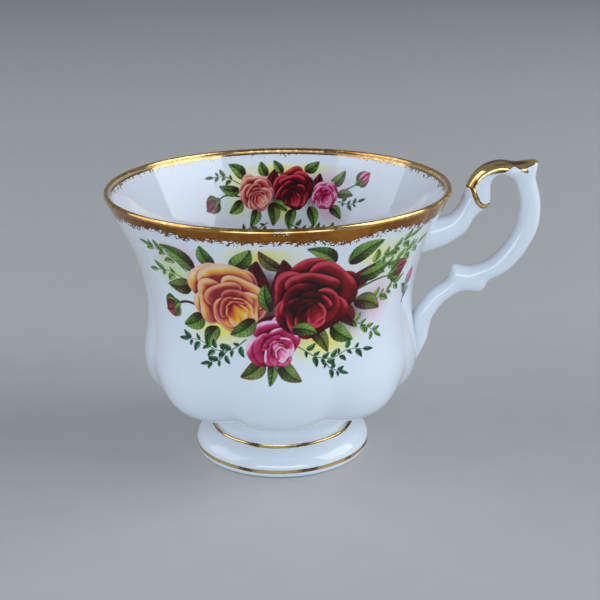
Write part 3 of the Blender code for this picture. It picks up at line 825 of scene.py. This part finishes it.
class Surface:
    """A material under construction, with its nodes placed by the object's own coordinates."""

    def __init__(self, name):
        self.material = bpy.data.materials.new(name)
        self.material.use_nodes = True
        self.nodes, self.links = self.material.node_tree.nodes, self.material.node_tree.links
        self.shader = self.nodes["Principled BSDF"]
        self.place = self.nodes.new("ShaderNodeTexCoord").outputs["Object"]

    def set(self, **values):
        """Constant values, by the names of the shader's sockets with _ for a space."""
        for socket, value in values.items():
            self.shader.inputs[socket.replace("_", " ")].default_value = value

    def paint(self):
        """The colour painted on the mesh's points."""
        node = self.nodes.new("ShaderNodeAttribute")
        node.attribute_name = "paint"
        return node.outputs["Color"]

    def plain(self, colour):
        node = self.nodes.new("ShaderNodeRGB")
        node.outputs["Color"].default_value = (*colour, 1)
        return node.outputs["Color"]

    def noise(self, scale, detail=3.0, stretch=None):
        texture = self.nodes.new("ShaderNodeTexNoise")
        texture.inputs["Scale"].default_value = scale
        texture.inputs["Detail"].default_value = detail
        source = self.place
        if stretch is not None:
            mapping = self.nodes.new("ShaderNodeMapping")
            mapping.inputs["Scale"].default_value = stretch
            self.links.new(source, mapping.inputs["Vector"])
            source = mapping.outputs["Vector"]
        self.links.new(source, texture.inputs["Vector"])
        return texture.outputs["Fac"]

    def rough(self, value, low, high):
        """Roughness that wanders between low and high with a noise."""
        spread = self.nodes.new("ShaderNodeMapRange")
        for socket, number in zip(("From Min", "From Max", "To Min", "To Max"), (0.3, 0.7, low, high)):
            spread.inputs[socket].default_value = number
        self.links.new(value, spread.inputs["Value"])
        self.links.new(spread.outputs["Result"], self.shader.inputs["Roughness"])

    def tint(self, colour, value, low, high=(1.0, 1.0, 1.0)):
        """Base colour: a colour times a tint that wanders between low and high."""
        tint = self.nodes.new("ShaderNodeMix")
        tint.data_type = "RGBA"
        tint.inputs["A"].default_value = (*low, 1)
        tint.inputs["B"].default_value = (*high, 1)
        self.links.new(value, tint.inputs["Factor"])
        product = self.nodes.new("ShaderNodeMix")
        product.data_type = "RGBA"
        product.blend_type = "MULTIPLY"
        product.inputs["Factor"].default_value = 1.0
        self.links.new(colour, product.inputs["A"])
        self.links.new(tint.outputs["Result"], product.inputs["B"])
        self.links.new(product.outputs["Result"], self.shader.inputs["Base Color"])

    def bump(self, *layers):
        """Bump from layers of a height and a distance in millimetres, one upon the other."""
        normal = None
        for height, distance in layers:
            bump = self.nodes.new("ShaderNodeBump")
            bump.inputs["Strength"].default_value = 1.0
            bump.inputs["Distance"].default_value = distance * MM
            self.links.new(height, bump.inputs["Height"])
            if normal is not None:
                self.links.new(normal, bump.inputs["Normal"])
            normal = bump.outputs["Normal"]
        self.links.new(normal, self.shader.inputs["Normal"])


def glazed(name, painted):
    """Glazed bone china: plain white, or under a coat of vertex paint."""
    surface = Surface(name)
    colour = surface.paint() if painted else surface.plain(linear(CHINA_WHITE))
    surface.tint(colour, surface.noise(55.0), (0.975, 0.978, 0.985), (1.0, 0.998, 0.992))
    surface.rough(surface.noise(240.0), *GLAZE_ROUGHNESS)
    surface.bump((surface.noise(70.0, detail=1.0), 0.10), (surface.noise(900.0, detail=2.0), 0.0015))
    surface.set(IOR=1.52, Coat_Roughness=0.03)
    surface.set(Specular_IOR_Level=0.28 if painted else 0.5, Coat_Weight=0.08 if painted else 0.35)
    return surface.material


def gilded(name):
    """Burnished gold: fine polishing marks, a few dull patches and a colour from vertex paint."""
    surface = Surface(name)
    surface.tint(surface.paint(), surface.noise(420.0, detail=4.0), (0.88, 0.83, 0.75))
    surface.rough(surface.noise(700.0), *GOLD_ROUGHNESS)
    surface.bump((surface.noise(900.0, stretch=(0.35, 0.35, 2.2)), 0.006))
    surface.set(Metallic=1.0)
    return surface.material


CHINA = glazed("bone_china_glaze", painted=False)
ENAMEL = glazed("transfer_enamel", painted=True)
GOLD = gilded("burnished_gold")

# ---------------------------------------------------------------- china


def fitted(piece, slot, *nodes):
    """A finished piece: it rides with the cup and stands for its CAD nodes, which it hides. The slot is not
    used.
    """
    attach(piece, BODY)
    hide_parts(*nodes)
    return piece


def rounded(outline, cuts):
    """An outline with its corners cut again and again. Its ends stay."""
    line = np.array(outline, float)
    for _ in range(cuts):
        near, far = line[:-1] * 0.75 + line[1:] * 0.25, line[:-1] * 0.25 + line[1:] * 0.75
        between = np.stack([near, far], axis=1).reshape(-1, line.shape[1])
        line = np.vstack([line[:1], between, line[-1:]])
    return line


AZIMUTHS = np.arange(AROUND) * math.tau / AROUND


def make_bowl():
    return skin("china_bowl", turned_points(BOWL_PATH, AZIMUTHS), CHINA)


def make_foot():
    outline = rounded(FOOT_OUTLINE, CORNER_CUTS)
    return skin("china_foot", turned_points(outline, AZIMUTHS[::2])[::-1], CHINA, poles=False)


def make_handle():
    turns = np.arange(HANDLE_SIDES) * math.tau / HANDLE_SIDES
    return skin("china_handle", handle_points(handle_rows(), turns), CHINA)


# ---------------------------------------------------------------- gilding

CUP_HEIGHT = BOWL_RINGS[-1][0] + LIP_ROUND
RIM_RADIUS = 40.0
RIM_CELLS = 1700
RIM_STEP = 0.2
RIM_FINE_STEP = 0.115
RIM_EDGE_OUTSIDE = 68.4
RIM_EDGE_INSIDE = 71.1
# Heights between which the edges of the gold break up, and where it turns bright below the lip.
RIM_FRINGE = (66.5, 69.6)
RIM_INNER_FRINGE = (68.6, 71.25)
RIM_BRIGHT = (71.0, 71.7)
# Round this direction, with this spread, both in degrees, the gold is dull and ends higher inside.
RIM_THIN = (82.0, 34.0)
RIM_THIN_RISE = 0.6
# Round this one it is darkened too, as a painted dark reflection, and worn through in specks just below the
# lip.
RIM_DARK_REFLECTION = (-88.0, 14.0)
RIM_WORN = (-88.0, 3.5)
RIM_WORN_BELOW = (72.0, 71.6)
FOOT_LINE_CELLS = 720
FOOT_LINES = ((6.65, 7.35), (1.5, 2.4))
# The gold on the scroll, as a closed outline of (x, z), and half of the width of the strip on its edge.
SCROLL_GOLD = (
    (46.6, 70.4), (47.6, 70.9), (49.9, 71.0), (51.5, 73.2), (53.2, 74.4), (55.0, 74.8),
    (57.6, 75.1), (58.7, 75.9), (59.8, 76.6), (61.3, 75.9), (62.6, 74.9), (63.6, 74.8),
    (63.3, 76.2), (66.6, 77.3), (66.9, 80.0), (45.0, 80.0),
)
SCROLL_STRIP_HALF = 0.62
SCROLL_GOLD_ABOVE = 64.8
SCROLL_STRETCH = (0.02, 0.5)
SCROLL_CELLS = 192


def resampled(path, step):
    """Points every step along a path of (radius, height, ...) rows."""
    along = lengths_along(path[:, :2])
    return interpolated(path, along, np.linspace(0, along[-1], int(along[-1] / step) + 1))


def rim_path():
    """The wall's outline over the lip, with closer points where the gilding's edges break up."""
    low, high = RIM_FRINGE
    inner_low, inner_high = RIM_INNER_FRINGE
    outer_wall = resampled(OUTSIDE[OUTSIDE[:, 1] > low - 1.0], 0.02)
    inner_wall = resampled(INSIDE[INSIDE[:, 1] > inner_low - 1.0], 0.02)
    lip = BOWL_PATH[WALL_STEPS - 1 : WALL_STEPS + LIP_STEPS + 1]
    fringe = resampled(outer_wall[(outer_wall[:, 1] > low) & (outer_wall[:, 1] < high)], RIM_FINE_STEP)
    band = resampled(outer_wall[outer_wall[:, 1] >= high], RIM_STEP)
    within = resampled(inner_wall[inner_wall[:, 1] >= inner_high], RIM_STEP)[::-1]
    drips = inner_wall[(inner_wall[:, 1] > inner_low) & (inner_wall[:, 1] < inner_high)]
    return np.vstack([fringe, band[:-1], lip, within[1:], resampled(drips, RIM_FINE_STEP)[::-1]])


def around_noise(azimuth, height, cell, seed, tall=1.0):
    """Noise with cells this wide, in millimetres, that closes on itself round the rim."""
    period = int(math.tau * RIM_RADIUS / cell)
    return noise(azimuth[None, :] / math.tau * period, height / (cell * tall), seed, period) - 0.5


def near(azimuth, at, spread):
    """1 in one direction, in degrees, fading to 0 away from it."""
    away = (np.degrees(azimuth) - at + 180) % 360 - 180
    return np.exp(-((away / spread) ** 2))[None, :]


def make_rim():
    """A band over the lip, sponged on so that both of its edges break up into specks."""
    path = rim_path()
    top = int(np.argmax(path[:, 1]))
    down = lengths_along(path[:, :2])[:, None]
    down = np.abs(down - down[top])
    azimuth = np.linspace(0, math.tau, RIM_CELLS + 1)
    height = path[:, 1][:, None]
    is_outside = np.arange(len(path))[:, None] < top
    slow = around_noise(azimuth, height * 0, 9.0, 31)
    middle = around_noise(azimuth, down, 2.6, 32)
    spots = around_noise(azimuth, down, 0.8, 33)
    dots = around_noise(azimuth, down, 0.30, 34)
    hairs = around_noise(azimuth, down, 0.40, 35, tall=4.0)
    # where the gold is: above a ragged edge on each side, less a worn patch
    outside = height - RIM_EDGE_OUTSIDE + 1.5 * slow + 0.8 * middle + 0.8 * spots
    outside += 3.0 * dots * ramp(1.5, 0.2, np.abs(outside + 0.3))
    thinner = RIM_THIN_RISE * near(azimuth, *RIM_THIN)
    inside = height - RIM_EDGE_INSIDE - thinner + 0.9 * slow + 0.8 * middle + 1.5 * hairs
    inside += 3.0 * dots * ramp(1.7, 0.3, np.abs(inside + 0.4))
    keep = np.where(is_outside, outside, inside)
    worn = ramp(0.24, 0.36, (around_noise(azimuth, down, 0.27, 37) + 0.25) * near(azimuth, *RIM_WORN))
    worn = worn * ramp(*RIM_WORN_BELOW, height) * is_outside
    keep = np.where(height > CUP_HEIGHT - 1.5, 0.8 - 1.6 * worn, keep)
    # its colour: brushed below, bright on the lip with streaks of painted reflection, dull at the back where
    # the band is thinner, and darkened in front as a painted dark reflection
    patchy = around_noise(azimuth, down, 1.2, 36)
    strength = ramp(0.0, 0.7, keep) * (0.82 + 0.35 * patchy + 0.5 * slow)
    brushed = mix(GOLD_THIN_AND_DARK_REFLECTION, GOLD_BRUSHED, np.clip(strength, 0, 1))
    # dark and bright streaks along the lip: painted reflections
    streaks = ramp(-0.2, 0.25, around_noise(azimuth, height, 0.9, 38, tall=0.25) + 0.5 * slow)
    solid = np.where(is_outside, ramp(*RIM_BRIGHT, height), ramp(0.0, 0.5, keep)) * (0.55 + 0.45 * streaks)
    # at the back the lip is dull where the band is thinner; at the front it is darkened as a painted dark
    # reflection
    dull = near(azimuth, *RIM_THIN) + 0.75 * near(azimuth, *RIM_DARK_REFLECTION)
    dull = dull * ramp(-0.30, 0.12, around_noise(azimuth, down, 0.8, 39))
    colours = linear(mix(brushed, GOLD_BRIGHT, solid * (1 - 0.9 * dull)))
    return film("gilt_rim", turned_points(path, azimuth, FILM_LIFT), keep, colours, GOLD)


def make_foot_line(name, low, high):
    """A painted line round the foot between two heights, a little uneven in width, fainter at its edges, with
    dark and bright stretches along it painted in as reflections.
    """
    outline = resampled(rounded(FOOT_OUTLINE, CORNER_CUTS), 0.05)
    bottom = int(np.argmin(outline[:, 1]))
    side = outline[:bottom][::-1]
    side = side[(side[:, 1] > low - 0.4) & (side[:, 1] < high + 0.4)]
    azimuth = np.linspace(0, math.tau, FOOT_LINE_CELLS + 1)
    height = side[:, 1][:, None]
    waver = 0.16 * around_noise(azimuth, height * 0, 12.0, 41)
    fray = 0.10 * around_noise(azimuth, height, 0.8, 42)
    keep = np.minimum(height - low + waver + fray, high - height - waver + fray)
    # dark and bright stretches round the line: painted reflections
    patchy = around_noise(azimuth, height * 0, 7.0, 43) + 0.3 * around_noise(azimuth, height, 1.2, 44)
    patchy = ramp(-0.22, 0.2, patchy)
    strength = (0.6 + 0.4 * ramp(0, 0.2, keep)) * (0.25 + 0.75 * patchy)
    colours = linear(mix(GOLD_THIN_AND_DARK_REFLECTION, GOLD_BRIGHT, strength))
    return film(name, turned_points(side, azimuth, FILM_LIFT), keep, colours, GOLD)


def inside_distance(points, outline):
    """Distance to a closed outline, above zero inside it."""
    outline = np.array(outline, float)
    closed = np.vstack([outline, outline[:1]])
    x, y = points[..., 0], points[..., 1]
    within = np.zeros(x.shape, bool)
    for (x0, y0), (x1, y1) in zip(closed, closed[1:]):
        crosses = (y0 > y) != (y1 > y)
        with np.errstate(divide="ignore", invalid="ignore"):
            at = x0 + (y - y0) * (x1 - x0) / (y1 - y0)
        within ^= crosses & (x < at)
    gap = distance_to_line(points, closed)
    return np.where(within, gap, -gap)


def make_scroll():
    """The gold over the curl of the handle's scroll, and the strip along its inner edge."""
    rows = handle_rows(HANDLE_STEPS * 2)
    share = np.linspace(0, 1, len(rows))
    rows = rows[(share > SCROLL_STRETCH[0]) & (share < SCROLL_STRETCH[1])]
    turns = np.linspace(0, math.tau, SCROLL_CELLS + 1)
    points = handle_points(rows, turns, FILM_LIFT)
    flat = points[..., (0, 2)]
    curl = inside_distance(flat, SCROLL_GOLD)
    strip = SCROLL_STRIP_HALF - distance_to_line(flat, SCROLL_EDGE)
    fray = 0.10 * (noise(flat[..., 0] * 2.5, flat[..., 1] * 2.5, 51) - 0.5)
    keep = np.maximum(curl, strip) + fray
    keep = np.where(flat[..., 1] < SCROLL_GOLD_ABOVE, -1.0, keep)
    # dark and bright bands along the scroll's gold: painted reflections
    streaks = noise(turns[None, :] / math.tau * 14, np.arange(len(rows))[:, None] / 26.0, 52, 14)
    strength = ramp(0, 0.35, keep) * (0.2 + 0.8 * ramp(0.25, 0.55, streaks))
    colours = linear(mix(GOLD_THIN_AND_DARK_REFLECTION, GOLD_BRIGHT, 0.1 + 0.9 * strength))
    return film("gilt_scroll", points, keep, colours, GOLD)


# ---------------------------------------------------------------- transfers

UNROLL_RADIUS = 36.0


def on_wall(name, canvas, wall, facing):
    """A painted film laid on the outside or the inside of the bowl, its middle facing this direction."""
    handed = 1 if wall is OUTSIDE else -1
    azimuth = math.radians(facing) + handed * canvas.across / UNROLL_RADIUS
    path = interpolated(wall, wall[:, 1], canvas.up)
    points = turned_points(path, azimuth, handed * FILM_LIFT)
    colours = linear(mix(CHINA_WHITE, canvas.colour, canvas.cover))
    return film(name, points, canvas.cover - 0.02, colours, ENAMEL)


# ---------------------------------------------------------------- the cup

fitted(make_bowl(), "china_bowl", "bowl")
fitted(make_foot(), "china_foot", "foot")
fitted(make_handle(), "china_handle", "handle")
fitted(make_rim(), "gilding", "rim_gilding")
fitted(make_scroll(), "gilding", "handle_gilding")
fitted(make_foot_line("gilt_foot_upper", *FOOT_LINES[0]), "gilding", "foot_gilding_upper")
fitted(make_foot_line("gilt_foot_lower", *FOOT_LINES[1]), "gilding", "foot_gilding_lower")
fitted(on_wall("transfer_front", front(), OUTSIDE, -90), "front_transfer_colours", "front_transfer")
fitted(on_wall("transfer_back", back(), OUTSIDE, 90), "back_transfer_colours", "back_transfer")
fitted(on_wall("transfer_inner", inner(), INSIDE, 90), "inner_transfer_colours", "inner_transfer")

# ---------------------------------------------------------------- stage

CAMERA_AT = (5.28, -300.56, 144.06)
CAMERA_PITCH = 18.998
CAMERA_ROLL = -0.707
CAMERA_LENS = 72.0
FLOOR = 9.0
FLOOR_COLOUR = (0.62, 0.612, 0.60)
LIGHTS_AIM = (0.0, 0.0, 0.035)
DAYLIGHT = (0.88, 0.94, 1.0)
FRONT_SKY = (0.66, 0.83, 1.0)
ROOM = (0.80, 0.89, 1.0)
ROOM_STRENGTH = 0.24


def make_floor():
    bpy.ops.mesh.primitive_grid_add(x_subdivisions=8, y_subdivisions=8, size=FLOOR)
    floor = bpy.context.object
    floor.name = "floor"
    surface = Surface("pale_floor")
    surface.tint(surface.plain(FLOOR_COLOUR), surface.noise(90.0, detail=5.0), (0.94, 0.94, 0.94))
    surface.set(Roughness=0.6)
    floor.data.materials.append(surface.material)


def make_light(name, place, size, power, colour):
    data = bpy.data.lights.new(name, "AREA")
    data.shape = "RECTANGLE"
    data.size, data.size_y = size
    data.energy = power
    data.color = colour
    light = linked(name, data)
    light.location = place
    direction = Vector(LIGHTS_AIM) - Vector(place)
    light.rotation_euler = direction.to_track_quat("-Z", "Y").to_euler()


def make_world():
    world = bpy.data.worlds.new("studio")
    world.use_nodes = True
    background = world.node_tree.nodes["Background"]
    background.inputs["Color"].default_value = (*ROOM, 1)
    background.inputs["Strength"].default_value = ROOM_STRENGTH
    bpy.context.scene.world = world


def make_camera():
    data = bpy.data.cameras.new("camera")
    data.lens = CAMERA_LENS
    data.clip_start = 0.01
    camera = linked("camera", data)
    place = Vector(CAMERA_AT) * MM + Vector((AXIS.x, AXIS.y, 0))
    tilt = Matrix.Rotation(math.radians(90 - CAMERA_PITCH), 4, "X")
    roll = Matrix.Rotation(math.radians(CAMERA_ROLL), 4, "Z")
    camera.matrix_world = Matrix.Translation(place) @ tilt @ roll
    bpy.context.scene.camera = camera


make_floor()
make_light("left_window", (-1.15, -0.10, 0.70), (1.2, 1.1), 6.6, DAYLIGHT)
make_light("right_window", (1.15, -0.14, 0.75), (1.2, 1.1), 11.0, DAYLIGHT)
make_light("low_front_fill", (0.0, -1.40, 0.24), (1.8, 0.36), 8.6, FRONT_SKY)
make_world()
make_camera()
bpy.context.scene.view_settings.view_transform = "Standard"
